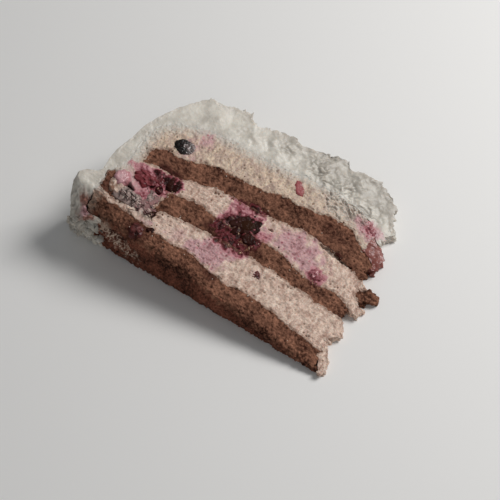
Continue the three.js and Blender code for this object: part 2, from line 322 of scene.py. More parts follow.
gaps = {    # gaps between the crushed berries, sunk in and painted near-black as their shade
    "pink lobe": ((-99.4, 18.0), (3.4, 1.2), 1.0),
    "pale currant": ((-88.3, 24.6), (1.5, 2.2), 1.0),
    "middle sponge's end": ((-83.4, 14.6), (0.8, 2.6), 0.8),
    "by the bramble": ((-41.5, 41.2), (1.0, 0.5), 0.8),
    "under the upper sponge's tip": ((-11.0, 49.6), (11.0, 0.9), 0.5),
}
wrinkles = {    # where cream or skin has dried in creases
    "upper cream, tip": ((-23.0, 73.5), (13.5, 7.0), 1.0),
    "crushed bilberry": ((-93.0, 14.6), (9.0, 5.4), 0.5),
}
rubbed = {  # where sponge crumb is rubbed into the cream
    "rim strip": ((-104.4, 13.6), (4.6, 6.4), 0.95),
    "rim strip's end": ((-98.5, 9.8), (4.0, 1.8), 0.8),
    "foot": ((-109.0, 1.4), (5.6, 5.6), 1.3),
    "foot's end": ((-104.5, -2.2), (6.5, 2.8), 1.1),
}


def stained(spot, points, marks, softness=0.95):
    # The strongest of the marks at each place: each fills an ellipse with a straying edge and fades out
    stray = np.stack([layeredLumps(points, (4.0, 6.0, 6.0), 3, seed, 0.65) for seed in (301, 302)], -1)
    strength = np.zeros(len(spot))
    for centre, reach, most in marks.values():
        gap = np.linalg.norm((spot - centre) / reach + stray * 0.34, axis=-1)
        strength = np.maximum(strength, most * smoothStep(1.15, 1.15 - softness, gap))
    return strength


crushed = {"lump": 2.3, "lumpHeight": 0.6, "swell": 5.0, "swellHeight": 0.35}


def crushedFruit(spot, points, onFace):
    # How much crushed fruit lies at each place, and how high. It lies in torn lumps, each with a tone of
    # its own, paler on top and darker in the creases: partly painted light and shade, partly juice gathered
    # there.
    covered = stained(spot, points, pulp) * (0.1 + 0.9 * onFace)
    near, mark = cells(pushed(points, 1.3, 2.2, 403), crushed["lump"], 409)
    top = smoothStep(0.85, 0.15, near)
    lifted = crushed["lumpHeight"] * top * (0.2 + mark)
    lifted += crushed["swellHeight"] * layeredLumps(points, crushed["swell"], 3, 411, 0.6)
    return covered * (1.4 - 0.4 * top - 0.6 * mark), smoothStep(0.15, 1.4, covered) * lifted


# Node trees


def linear(code):
    # An sRGB hex colour as linear values
    parts = [int(code[i:i + 2], 16) / 255.0 for i in (1, 3, 5)]
    return tuple(p / 12.92 if p <= 0.04045 else ((p + 0.055) / 1.055) ** 2.4 for p in parts) + (1.0,)


def addNode(tree, kind, settings=None, links=None):
    # Adds a shader node, sets its properties and input values by name or number, and links its inputs
    node = tree.nodes.new("ShaderNode" + kind)
    for key, value in (settings or {}).items():
        if isinstance(key, str) and hasattr(node, key):
            setattr(node, key, value)
        else:
            node.inputs[key].default_value = value
    for key, source in (links or {}).items():
        tree.links.new(source, node.inputs[key])
    return node


def newMaterial(name, settings):
    # An empty material's tree, its shader with the settings, and its Object coordinates
    material = bpy.data.materials.new(name)
    material.use_nodes = True
    shader = material.node_tree.nodes["Principled BSDF"]
    for key, value in settings.items():
        shader.inputs[key].default_value = value
    place = addNode(material.node_tree, "TexCoord").outputs["Object"]
    return material, material.node_tree, shader, place


def readField(tree, name):
    # A field that the mesh keeps at its corners
    return addNode(tree, "Attribute", {"attribute_name": name}).outputs["Fac"]


def tint(tree, colour, codes):
    # Mixes in one colour after another, each as much as the field of its name says
    for field, code in codes.items():
        colour = addNode(tree, "Mix", {"data_type": "RGBA", 7: linear(code)},
                         {0: readField(tree, field), 6: colour}).outputs[2]
    return colour


def soak(tree, place, colour, amount, stages):
    # Mixes in one colour after another as a blotchy amount passes each stage's low and high value
    blotch = addNode(tree, "TexNoise", {"Scale": 1.0 / fruit["blotch"], "Detail": 5.0, "Roughness": 0.85},
                     {"Vector": place})
    uneven = addNode(tree, "Math", {"operation": "MULTIPLY_ADD", 1: 2.8, 2: -1.4}, {0: blotch.outputs["Fac"]})
    wet = addNode(tree, "Math", {"operation": "MULTIPLY_ADD"}, {0: uneven.outputs[0], 1: amount, 2: amount})
    for low, high, code in stages:
        share = addNode(tree, "MapRange", {
            "interpolation_type": "SMOOTHSTEP", "From Min": low, "From Max": high}, {"Value": wet.outputs[0]})
        colour = addNode(tree, "Mix", {"data_type": "RGBA", 7: linear(code)},
                         {0: share.outputs[0], 6: colour}).outputs[2]
    return colour


def finishLook(tree, shader, colour, height, strength, depth):
    # Gives the shader its colour, and the height as a bump of a strength and of a depth in metres
    bump = addNode(tree, "Bump", {"Strength": strength, "Distance": depth}, {"Height": height})
    tree.links.new(colour, shader.inputs["Base Color"])
    tree.links.new(bump.outputs[0], shader.inputs["Normal"])


fruit = {
    "pale": "#c3898e", "pink": "#8f4a52", "crimson": "#5c2125", "dark": "#2e0e0b",
    "blotch": 0.003,    # metres: how broadly crushed fruit and juice are torn at their edges
}
# Each stage begins at the first amount, is full at the second one and has a colour.
pulpStages = ((0.05, 0.35, fruit["pale"]), (0.35, 0.75, fruit["pink"]), (0.75, 1.15, fruit["crimson"]),
              (1.2, 1.6, fruit["dark"]))
soakedStages = ((0.1, 0.6, "#451a17"), (0.6, 0.9, "#6d3034"), (1.0, 1.25, fruit["crimson"]),
                (1.25, 1.6, fruit["dark"]))
juiceStages = ((0.05, 0.75, "#c99fa0"), (0.7, 1.3, "#9c696b"))


# Cocoa sponge: egg foam baked with cocoa, cut with a knife. The eye gets matt brown crumb with small pores,
# painted dark as their shade, lighter dry grains, and purple where juice has soaked in. Its baked underside
# is darker and finer.

sponge = {
    "dark": "#35180e", "light": "#a1715a", "crustDark": "#1f0d08", "crustLight": "#915946",
    # pore is painted shade in the pores and between the grains
    "pore": "#2b1710", "wine": "#38130f", "smear": "#dcc4b0",
    "poreSize": 1.9, "poreDepth": 0.45, "grainSize": 1.2, "grainHeight": 0.36, "swell": 0.34,
    "speck": 0.0008,    # metres: the finest grains that still show in the render
    "cloud": 0.008,     # metres: broad darker and lighter parts
    "frost": (-90.5, 13.0, 11.0, 6.0), "frostLean": 0.45,   # middle along and above the floor, half sizes
    "patch": (-99.0, 3.0, 4.0, 4.5),    # middle along and below the cut, half sizes
    "end": (-103.0, -107.0),            # cream is rubbed into the end between these
    "cutEdge": 2.6, "floorEdge": 3.4,   # how far the bottom sponge's long edges are rounded
}


def cocoaSponge():
    # Fine and broad noise from dark to light, the same for the crust, then the colours of the fields, then
    # crushed fruit, which is wet. Fine grit stands up.
    material, tree, shader, place = newMaterial("cocoa sponge, baked and cut", {"Specular IOR Level": 0.14})
    fine = addNode(tree, "TexNoise", {"Scale": 0.5 / sponge["speck"], "Detail": 4.0, "Roughness": 0.8},
                   {"Vector": place})
    broad = addNode(tree, "TexNoise", {"Scale": 1.0 / sponge["cloud"], "Detail": 3.0}, {"Vector": place})
    share = addNode(tree, "Math", {"operation": "MULTIPLY", 1: 0.35}, {0: broad.outputs["Fac"]})
    mixed = addNode(tree, "Math", {"operation": "MULTIPLY_ADD", 1: 0.65},
                    {0: fine.outputs["Fac"], 2: share.outputs[0]})
    spread = addNode(tree, "MapRange", {"From Min": 0.385, "From Max": 0.615}, {"Value": mixed.outputs[0]})
    crumb, crust = [
        addNode(tree, "Mix", {"data_type": "RGBA", 6: linear(sponge[dark]), 7: linear(sponge[light])},
                {0: spread.outputs[0]}).outputs[2]
        for dark, light in (("dark", "light"), ("crustDark", "crustLight"))]
    colour = addNode(tree, "Mix", {"data_type": "RGBA"}, {0: readField(tree, "crust"), 6: crumb, 7: crust})
    # Painted shade in the pores and between the grains is mixed in with the pore colour.
    colour = tint(tree, colour.outputs[2], {
        "wine": sponge["wine"], "hollowShade": sponge["pore"], "smear": sponge["smear"]})
    covered = readField(tree, "pulp")
    colour = soak(tree, place, colour, covered, soakedStages)
    wetness = addNode(tree, "MapRange", {"From Min": 0.3, "From Max": 0.9, "To Min": 0.9, "To Max": 0.4},
                      {"Value": covered})
    grit = addNode(tree, "TexNoise", {"Scale": 1.0 / sponge["speck"], "Detail": 3.0}, {"Vector": place})
    tree.links.new(wetness.outputs[0], shader.inputs["Roughness"])
    finishLook(tree, shader, colour, grit.outputs["Fac"], 0.9, 0.0004)
    return material


def spongeGrain(points):
    # Swells, plus grains that stand up, less pores in some of the larger cells
    near, mark = cells(points, sponge["poreSize"], 41)
    pore = smoothStep(0.5, 0.1, near) * smoothStep(0.6, 0.85, mark)
    grain, tall = cells(points, sponge["grainSize"], 47)
    height = sponge["swell"] * layeredLumps(points, 4.0, 3, 43, 0.6)
    height += sponge["grainHeight"] * (tall * 1.6 - grain * 1.5)
    # The second value is painted shade in the pores and between the grains.
    return height - sponge["poreDepth"] * pore, 0.6 * pore + 0.35 * smoothStep(0.5, 0.95, grain)


def bakedBase(spot, points, onFace):
    # The bottom sponge's underside browns towards its crust. Cream is smeared thinly on it near the rim: in
    # specks, in a patch and over the sponge's end. Each place counts its distance in half sizes.
    below = placePoints(spot, 1.0)[:, 2] - points[:, 2]
    broken = layeredLumps(points, 2.4, 3, 407, 0.7)
    crust = smoothStep(3.4, 0.2, spot[:, 1]) * smoothStep(-0.5, 5.0, below + 3.0 * broken)
    middle, high, wide, tall = sponge["frost"]
    fromMiddle = spot[:, 0] - middle
    frost = np.hypot(fromMiddle / wide, (points[:, 2] - high + fromMiddle * sponge["frostLean"]) / tall)
    middle, deep, wide, tall = sponge["patch"]
    patch = np.hypot((spot[:, 0] - middle) / wide, (below - deep) / tall)
    end = smoothStep(*sponge["end"], spot[:, 0] + 2.0 * broken) * onFace
    near, mark = cells(points, 0.8, 405)
    speck = smoothStep(0.7, 0.35, near) * smoothStep(0.2, 0.4, mark)
    smear = crust * np.maximum(speck * smoothStep(1.2, 0.4, frost + 0.4 * broken) * 0.95,
                               0.6 * smoothStep(1.2, 0.4, patch + 0.5 * broken))
    return crust, np.maximum(smear, 0.5 * end * (0.4 + 0.6 * speck))


def spongeSurface(name, spot, points, onFace):
    # The grain, with crushed fruit laid over it
    height, hollowShade = spongeGrain(points)
    covered, piled = crushedFruit(spot, points, onFace)
    # The painted shade in the pores is weaker under crushed fruit and off the cut face.
    fields = {"hollowShade": hollowShade * smoothStep(0.7, 0.2, covered) * (0.35 + 0.65 * onFace), "pulp": covered,
              "wine": stained(spot, points, wine) * (0.2 + 0.8 * onFace)}
    if name == "spongeBottom":
        fields["crust"], fields["smear"] = bakedBase(spot, points, onFace)
        height *= 1.0 + 0.5 * fields["crust"]
    return height + piled - 0.1, 0.0, fields


# Cream fillings: cream whipped with fruit and set. The eye gets pale foam with small bubbles, drawn a
# little upwards across the layers by the knife, and pink to crimson where juice has run in.

cream = {
    "berryPale": "#ebd3c1", "berryDeep": "#b79686", "vanillaPale": "#e0cab2", "vanillaDeep": "#b1978a",
    # pit is painted shade in burst bubbles and in the troughs of creases, gap is painted near-black shade in
    # the gaps
    "white": "#cdc5ba", "pit": "#7a6154", "soil": "#7a5541", "gap": "#1d0f0c",
    "bubble": 0.0011,   # metres, coarser than real so that it shows
    "streak": 0.0018,   # metres
    "drag": (1.8, 6.0, 5.0), "dragHeight": 0.3, "swell": 0.42, "pitSize": 1.6, "pitDepth": 0.5,
    "dip": 1.8, "gapDepth": 2.6, "creaseSize": (3.4, 2.6, 3.0), "fleckSize": 1.9,
    "blend": 3.2,       # the creams turn into the coat over this far on both sides of their border
    "rimZone": ((-98.0, -103.0), (24.0, 32.0)),     # vanilla cream runs down behind the coat here
    "tipZone": (-46.0, -26.0), "tipAbove": 55.0,    # the upper cream is whiter here
}


def setCream():
    # Noise drawn out by the knife, from deep to pale in the two creams' colours, then white, juice and
    # crushed fruit over it, then the colours of soil and of painted shade in bubbles, creases and gaps. The
    # foam's bubbles stand up.
    material, tree, shader, place = newMaterial("fruit cream, whipped and set", {
        "Specular IOR Level": 0.22, "Subsurface Weight": 0.2, "Subsurface Scale": 0.0015,
        "Subsurface Radius": (1.0, 0.6, 0.45)})
    drawn = addNode(tree, "Mapping", {"Scale": (1.0, 0.45, 0.6)}, {"Vector": place}).outputs[0]
    streak = addNode(tree, "TexNoise", {"Scale": 1.0 / cream["streak"], "Detail": 5.0, "Roughness": 0.75},
                     {"Vector": drawn})
    spread = addNode(tree, "MapRange", {"From Min": 0.38, "From Max": 0.62}, {"Value": streak.outputs["Fac"]})
    berry, vanilla = [
        addNode(tree, "Mix", {"data_type": "RGBA", 6: linear(cream[kind + "Deep"]),
                              7: linear(cream[kind + "Pale"])}, {0: spread.outputs[0]}).outputs[2]
        for kind in ("berry", "vanilla")]
    colour = addNode(tree, "Mix", {"data_type": "RGBA"},
                     {0: readField(tree, "vanilla"), 6: berry, 7: vanilla})
    colour = tint(tree, colour.outputs[2], {"white": cream["white"]})
    colour = soak(tree, drawn, colour, readField(tree, "juice"), juiceStages)
    covered = readField(tree, "pulp")
    colour = soak(tree, place, colour, covered, pulpStages)
    # Painted shade in the bubbles and creases, and near-black painted shade in the gaps.
    colour = tint(tree, colour, {"soil": cream["soil"], "hollowShade": cream["pit"], "gap": cream["gap"]})
    wetness = addNode(tree, "MapRange", {"From Min": 0.3, "From Max": 0.9, "To Min": 0.55, "To Max": 0.38},
                      {"Value": covered})
    foam = addNode(tree, "TexNoise", {"Scale": 1.0 / cream["bubble"], "Detail": 4.0, "Roughness": 0.7},
                   {"Vector": place})
    tree.links.new(wetness.outputs[0], shader.inputs["Roughness"])
    finishLook(tree, shader, colour, foam.outputs["Fac"], 0.8, 0.0004)
    return material


def creamFoam(points):
    # Ridges drawn out across the layers where the knife dragged, soft swells and scattered burst bubbles
    near, mark = cells(points, cream["pitSize"], 53)
    pit = smoothStep(0.38, 0.1, near) * smoothStep(0.6, 0.75, mark)
    dragged = smoothStep(-0.4, 0.5, lumps(points, 16.0, 50))
    height = cream["dragHeight"] * dragged * layeredLumps(points, cream["drag"], 2, 51, 0.7)
    height += cream["swell"] * layeredLumps(points, 3.4, 4, 54, 0.7)
    # The second value is painted shade in the burst bubbles.
    return height - cream["pitDepth"] * pit, pit * 0.6


def creamSurface(name, spot, points, onFace):
    # The foam, which turns into the sponge's grain and the coat's crags where they meet, and is creased,
    # pierced or covered with crushed fruit by the marks. It dips under its neighbours and in the gaps, and
    # small flecks of fruit lie where it is juicy.
    height, hollowShade = creamFoam(points)
    grainy = lumps(points, 1.5, 401)
    intoCoat = depthInside(spot, "whippedCoat")
    height += (coatCrags(points)[0] - height) * smoothStep(-cream["blend"], cream["blend"], intoCoat)
    intoSponge = np.max([depthInside(spot, other) for other in layers if other.startswith("sponge")], axis=0)
    height += (spongeGrain(points)[0] - height) * smoothStep(-1.2, 0.0, intoSponge)
    # The gaps are sunk in, and painted near-black as their shade.
    opened = stained(spot, points, gaps, 0.4) * onFace
    dip = cream["dip"] * smoothStep(0.0, 1.6, np.maximum(intoSponge, intoCoat)) + cream["gapDepth"] * opened
    creased = stained(spot, points, wrinkles, 0.55) * onFace
    between = creases(points, cream["creaseSize"], 413)
    covered, piled = crushedFruit(spot, points, onFace)
    height += piled + creased * (0.9 * between - 0.5 + 0.4 * layeredLumps(points, 3.0, 2, 417))
    # Painted shade: in the bubbles, more in the troughs of the creases, and less under crushed fruit.
    hollowShade = np.maximum(hollowShade, creased * (0.38 - 0.3 * between)) * smoothStep(0.7, 0.2, covered)
    juicy = stained(spot, points, juice) * (0.25 + 0.75 * onFace)
    near, mark = cells(points, cream["fleckSize"], 421)
    flecks = smoothStep(0.42, 0.15, near) * smoothStep(0.5, 0.7, mark) * smoothStep(0.25, 0.65, juicy)
    rim = smoothStep(*cream["rimZone"][0], spot[:, 0]) * smoothStep(*cream["rimZone"][1], spot[:, 1])
    tip = smoothStep(*cream["tipZone"], spot[:, 0]) * (spot[:, 1] > cream["tipAbove"])
    return height, dip, {
        "hollowShade": hollowShade, "pulp": np.maximum(covered, 0.65 * flecks), "gap": opened, "juice": juicy,
        "soil": np.maximum(smoothStep(-1.5, 0.0, intoSponge + 0.8 * grainy) * 0.5,
                           stained(spot, points, rubbed) * smoothStep(-0.5, 0.3, grainy)),
        "white": np.maximum(smoothStep(-6.5, 0.5, intoCoat + 1.5 * grainy), 0.2 * tip + 0.55 * creased),
        "vanilla": np.maximum(rim, float(name == "creamUpper")),
    }


# Whipped cream: fresh cream spread with a palette knife. The eye gets warm off-white, faintly glossy,
# smooth down the rim, and torn into lumps on the top where it has set dry, with grey painted shade in the
# creases between them.

coat = {
    # The third colour is grey painted shade for the creases on the top and for the torn foot.
    "pale": "#ddd6ca", "deep": "#b9b1a5", "crackShade": "#7c736a", "soil": "#93675a",
    "cloud": 0.009, "grain": 0.0013,    # metres, and the grain is coarser than real so that it shows
    "lumpSize": 7.0, "lumpHeight": 0.8, "clumpSize": 4.2, "clumpHeight": 0.6,
    "creaseSize": 3.2, "creaseDepth": 0.6,
    "toothSize": (2.6, 18.0, 5.0), "tooth": 1.7, "toothFrom": 0.65,     # the last a share of its thickness
    "ragged": 2.6, "raggedSize": 5.0,   # the end under the base
    "flakeSize": (4.6, 3.0, 4.6), "flakeHeight": 0.8, "flakesUpTo": (15.0, 5.0),
    "zones": {  # each grows between the first two numbers along and between the other two up
        "rough": ((-96.0, -72.0), (62.0, 74.0)), "torn": ((-76.0, -44.0), (68.0, 78.0)),
        # The zone after the foot is a band near the top edge that is painted greyer as its shade.
        "foot": ((-98.0, -110.0), (14.0, 4.0)), "shadedBand": ((-68.0, -54.0), (77.0, 85.0)),
    },
    "corner": (-112.9, 2.3), "cornerSlope": 1.3,    # the foot's outer corner
    "cornerWay": (-0.757, -0.654),                  # the way out of the slice there
}


def whippedCream():
    # Broad noise from deep to pale, then the colours of the fields, among them painted grey shade, then
    # juice.
    # Fine grain stands up.
    material, tree, shader, place = newMaterial("whipped cream, spread with a palette knife", {
        "Roughness": 0.42, "Specular IOR Level": 0.4, "Subsurface Weight": 0.3, "Subsurface Scale": 0.0025,
        "Subsurface Radius": (1.0, 0.8, 0.65)})
    cloud = addNode(tree, "TexNoise", {"Scale": 1.0 / coat["cloud"], "Detail": 5.0, "Roughness": 0.6},
                    {"Vector": place})
    spread = addNode(tree, "MapRange", {"From Min": 0.35, "From Max": 0.6}, {"Value": cloud.outputs["Fac"]})
    colour = addNode(tree, "Mix", {"data_type": "RGBA", 6: linear(coat["deep"]), 7: linear(coat["pale"])},
                     {0: spread.outputs[0]}).outputs[2]
    colour = tint(tree, colour, {"vanilla": cream["white"], "hollowShade": coat["crackShade"], "soil": coat["soil"]})
    colour = soak(tree, place, colour, readField(tree, "juice"), juiceStages)
    grain = addNode(tree, "TexNoise", {"Scale": 1.0 / coat["grain"], "Detail": 3.0, "Roughness": 0.6},
                    {"Vector": place})
    finishLook(tree, shader, colour, grain.outputs["Fac"], 0.5, 0.0004)
    return material


def coatCrags(points):
    # Long soft swells, which turn into crags on the top of the cake, with torn clumps on them at its tip and
    # thin creases where it has dried
    spot = points[:, :2] + torte["middle"]
    rough, torn, foot, shadedBand = [smoothStep(*runs, spot[:, 0]) * smoothStep(*rises, spot[:, 1])
                               for runs, rises in coat["zones"].values()]
    near, mark = cells(pushed(points, 2.0, 3.2, 65), coat["clumpSize"], 62)
    clump = smoothStep(0.95, 0.1, near) * (0.2 + 0.8 * mark)
    dried = torn * smoothStep(-0.4, 0.3, lumps(points, 13.0, 68))
    between = creases(points, coat["creaseSize"], 69)
    height = 0.25 * layeredLumps(points, 9.0, 3, 63)
    height += rough * coat["lumpHeight"] * (layeredLumps(points, coat["lumpSize"], 3, 61, 0.45) - 0.2)
    height += torn * coat["clumpHeight"] * (clump - 0.4) + foot * 0.7 * layeredLumps(points, 5.0, 3, 67)
    height += dried * coat["creaseDepth"] * (between - 0.6)
    # The second value is painted grey shade: in the dried creases, and lighter over a band near the top edge.
    return height, np.maximum(dried * (0.5 - 0.45 * between), 0.3 * shadedBand)


def coatSurface(name, spot, points, onFace):
    # The crags, which turn into the cream's foam where the two meet. Below the cut face, and where its outer
    # corner slopes down, the foot is torn into flakes and painted grey as its shade, most in the creases
    # between them. Sponge crumb is rubbed into it beside the bottom sponge, and its outer corner slopes down,
    # more the farther a spot lies past the corner.
    height, cragShade = coatCrags(points)
    grainy = lumps(points, 1.5, 401)
    broken = layeredLumps(points, 2.6, 3, 415)
    cloudy = layeredLumps(points, 8.0, 3, 419)
    intoCoat = depthInside(spot, "whippedCoat")
    height += (creamFoam(points)[0] - height) * smoothStep(cream["blend"], -cream["blend"], intoCoat)
    crumby = stained(spot, points, rubbed) * onFace
    height += crumby * (spongeGrain(points)[0] + 0.5 * broken)
    past = (spot - coat["corner"]) @ np.array(coat["cornerWay"])
    slope = coat["cornerSlope"] * np.maximum(past + 0.8 * broken, 0.0)
    torn = smoothStep(*coat["flakesUpTo"], spot[:, 1] + 3.0 * cloudy)
    torn *= np.maximum(1.0 - onFace, smoothStep(0.5, 2.5, slope))
    between = creases(points, coat["flakeSize"], 431)
    height += torn * (coat["flakeHeight"] * (between - 0.7) + 0.5 * broken)
    # Painted grey shade: the crags' own, and over the torn foot, most in its creases.
    return height, slope, {
        "hollowShade": np.maximum(cragShade, torn * (0.6 - 0.35 * between)),
        "soil": crumby * smoothStep(-1.3, -0.2, broken + grainy),
        "juice": stained(spot, points, juice) * (0.25 + 0.75 * onFace),
        "vanilla": smoothStep(3.0, -0.5, intoCoat + 1.6 * grainy) * (spot[:, 1] > 8.0) * 0.8,
    }


compote = {"lump": 2.8, "lumpHeight": 0.4, "swell": 3.4, "swellHeight": 0.4, "palerUp": (57.0, 66.0)}


def compoteSurface(name, spot, points, onFace):
    # Soft lumps of stewed fruit, some of them paler towards the top
    near, mark = cells(points, compote["lump"], 91)
    height = compote["lumpHeight"] * (0.6 - near)
    height += compote["swellHeight"] * layeredLumps(points, compote["swell"], 3, 93)
    cut = smoothStep(*compote["palerUp"], spot[:, 1]) * mark
    # Between the lumps it is painted darker as their shade.
    return height, 0.0, {"hollowShade": smoothStep(0.55, 1.0, near) * 0.5, "cut": cut}


# Layers

layers = {
    "spongeBottom": {
        "lower": [(-108.4, 0), (-84, 0), (-40, 0), (8.5, 0)],
        "upper": [(-108.4, 7.3), (-97, 7), (-84, 7.8), (-71, 7.4), (-63, 9.3), (-52, 8), (-43, 7.6),
                  (-36, 9.4), (-24, 10), (-10, 9.2), (4.5, 8.4)],
        "node": "sponge_bottom", "slot": "cocoa_sponge", "turns": 80,
    },
    "spongeMiddle": {
        "lower": [(-84.6, 13.6), (-81, 17), (-72, 19.6), (-62, 21.6), (-44, 24.3), (-26, 25.5),
                  (-8, 26.3), (4, 26.2)],
        "upper": [(-84.6, 26.6), (-78, 28.8), (-69, 31), (-62, 30), (-50, 31.6), (-36.5, 34.9), (-30, 34.4),
                  (-24, 33), (-14, 32.6), (-5, 34.6), (4, 33.2)],
        "node": "sponge_middle", "slot": "cocoa_sponge", "turns": 20,
    },
    "spongeUpper": {
        "lower": [(-101.6, 31.2), (-95, 33.8), (-85, 35.2), (-74, 40.3), (-64, 42.9), (-52, 44.3),
                  (-43, 46.5), (-35, 49.2), (-27, 50.2), (-8, 49.8), (1, 46.8)],
        "upper": [(-102.6, 37.8), (-99, 42.4), (-89, 44.1), (-84.5, 46.7), (-79, 49.6), (-70, 52),
                  (-57, 54.2), (-47, 58.2), (-36, 60.3), (-29, 62.4), (-22, 64.8), (-15.5, 64.9),
                  (-8.5, 61), (0.4, 57.6)],
        "node": "sponge_upper", "slot": "cocoa_sponge", "turns": 20,
    },
    "spongeRim": {
        "lower": [(-109.2, 20.4), (-109.2, 13), (-107.8, 9.7), (-103.6, 9), (-98.6, 9.3)],
        "upper": [(-106.5, 20.2), (-106.3, 15), (-105, 12.5), (-102, 11.9), (-98.6, 11.2)],
        "node": "sponge_rim", "slot": "cocoa_sponge", "turns": 20, "rougher": 1.8,
    },
    "spongeCrumb": {
        "lower": [(2, 40.8), (4.6, 38.3), (6.8, 37.4), (9, 40.6), (12.5, 43.5)],
        "upper": [(2, 43.2), (5.4, 44.7), (9, 46), (11.4, 45.6), (12.8, 44.3)],
        "node": "sponge_crumb", "slot": "cocoa_sponge", "turns": 12, "rougher": 1.4,
    },
    "creamLower": {
        "lower": [(-86, 6.8), (-40, 6.4), (3.6, 7.4), (7.2, 3.6), (8.6, -0.1)],
        "upper": [(-86, 15.4), (-78, 20.4), (-60, 24.4), (-26, 27.4), (4.4, 26), (6.8, 23.2), (8.3, 19.4),
                  (7.8, 17.8), (4.6, 16), (7.6, 11), (8.3, 8.5), (10.9, 3.8), (11.3, 1.6), (10.2, 0)],
        "node": "cream_lower", "slot": "berry_cream", "turns": 24,
    },
    "creamMiddle": {
        "lower": [(-109.2, 6), (-86.4, 6.2), (-83.9, 8.4), (-82.8, 13.4), (-84, 19), (-84, 25), (-60, 29),
                  (3.6, 31.4), (8.4, 32.3)],
        "upper": [(-109.8, 10), (-106, 31.6), (-84, 36.4), (-62, 44.4), (-27, 51.4), (-8, 51), (1.8, 47.4),
                  (5, 44), (4.4, 40.4), (7.6, 35.9), (9.5, 35.6)],
        "node": "cream_middle", "slot": "berry_cream", "turns": 24,
    },
    "creamUpper": {
        "lower": [(-105.9, 29.4), (-101.6, 34), (-98.5, 41), (-84.5, 45.4), (-70, 50.8), (-36, 59.2),
                  (-15.5, 63.6), (-6.4, 59)],
        "upper": [(-108.6, 31.4), (-108.6, 45), (-98, 60.6), (-84, 66.6), (-50, 73), (-17, 76.6), (-4, 70)],
        "node": "cream_upper", "slot": "vanilla_cream", "turns": 24,
    },
    "whippedCoat": {
        "lower": [(-99.5, -0.3), (-104, -0.4), (-108.8, 0.2), (-109, 8), (-109.4, 18.5), (-107.2, 25),
                  (-106.6, 33), (-107.8, 43), (-106.8, 49), (-103.6, 54), (-99, 58.3), (-94, 61), (-84, 65.2),
                  (-75, 66.8), (-61, 69), (-50, 71.5), (-40, 73.8), (-28, 75), (-17, 75.2), (-11, 73.8),
                  (-4.2, 68)],
        "upper": [(-99.5, -1.2), (-105, -2.7), (-112, -3.2), (-117.6, 1.5), (-119.2, 7.2), (-117.3, 12.2),
                  (-113.6, 14.9), (-112.2, 16.6), (-113.4, 25), (-112.6, 36), (-111, 50), (-107, 62),
                  (-102.6, 71.5), (-100, 76.8), (-94, 79), (-87, 81), (-82, 84), (-75, 80.4), (-70, 83),
                  (-62, 86.3), (-54, 85.8), (-45, 89.7), (-35, 92.8), (-29.3, 90.6), (-25, 93.1),
                  (-18.5, 92.8), (-9, 90.4), (-5, 84), (-1.2, 78.8), (0.4, 74), (-1.4, 71.2), (-0.8, 66.6)],
        "node": "coat", "slot": "whipped_cream", "turns": 32, "step": 0.39,
    },
    "compoteTip": {
        "lower": [(-6.8, 60), (-3.4, 58.6), (0.2, 57), (0.8, 54.2)],
        "upper": [(-4.6, 68.4), (-1, 66.1), (1.5, 65), (2.6, 62), (4.3, 56.2), (3, 53.8)],
        "node": "compote_tip", "slot": "compote", "turns": 16,
    },
}


def depthInside(spot, name):
    # How far a spot of the cut face lies inside a layer's outline, and less than zero outside it
    layer = layers[name]
    lower = smoothLine(layer["lower"])(np.linspace(0, 1, 70))
    upper = smoothLine(layer["upper"])(np.linspace(1, 0, 70))
    outline = np.vstack([lower, upper])
    depth = np.full(len(spot), -9.0)
    close = np.all((spot > outline.min(axis=0) - 9.0) & (spot < outline.max(axis=0) + 9.0), axis=1)
    x, y = spot[close].T
    gap = np.full(len(x), 81.0)
    inside = np.zeros(len(x), bool)
    for (ax, ay), (bx, by) in zip(outline, np.roll(outline, -1, axis=0)):
        run = max((bx - ax) ** 2 + (by - ay) ** 2, 1e-9)
        share = np.clip(((x - ax) * (bx - ax) + (y - ay) * (by - ay)) / run, 0.0, 1.0)
        gap = np.minimum(gap, (x - ax - share * (bx - ax)) ** 2 + (y - ay - share * (by - ay)) ** 2)
        if ay != by:
            inside ^= ((ay > y) != (by > y)) & (x < (bx - ax) * (y - ay) / (by - ay) + ax)
    depth[close] = np.sqrt(gap) * np.where(inside, 1.0, -1.0)
    return depth


def roundCorner(a, b, radius):
    # Two distances from a square edge, pulled in so that the edge becomes a quarter circle
    p = np.maximum(radius - a, 0.0)
    q = np.maximum(radius - b, 0.0)
    pull = np.where((p > 0) & (q > 0), np.maximum(p, q) / np.maximum(np.hypot(p, q), 1e-9), 1.0)
    return np.where(p > 0, radius - p * pull, a), np.where(q > 0, radius - q * pull, b)


def wornBase(points, top):
    # The bottom sponge's long edges, rounded: a soft one at the cut and a broader one at the floor
    up = points[:, 1] + torte["middle"][1]
    rounded, below = roundCorner(up, top - points[:, 2], sponge["cutEdge"])
    rounded, above = roundCorner(rounded, top - below, sponge["floorEdge"])
    return np.stack([points[:, 0], rounded - torte["middle"][1], above], -1)


def strayed(spot, points, wander, fromEdge):
    # Moves the spots by noise that depends on place alone, so that neighbours still meet. It fades away from
    # the edges, and the tip is torn as well.
    stray = np.stack([layeredLumps(points, torte["wanderSize"], 3, seed, 0.65) for seed in (201, 202)], -1)
    torn = smoothStep(-12.0, 2.0, spot[:, 0]) * layeredLumps(points, torte["tearSize"], 3, 203, 0.7)
    fade = 1.0 - 0.85 * smoothStep(*torte["edgeReach"], fromEdge)
    moved = spot + stray * (wander * smoothStep(-1.0, 3.0, spot[:, 1]) * fade)[:, None]
    moved[:, 0] += torn * torte["tear"]
    return moved


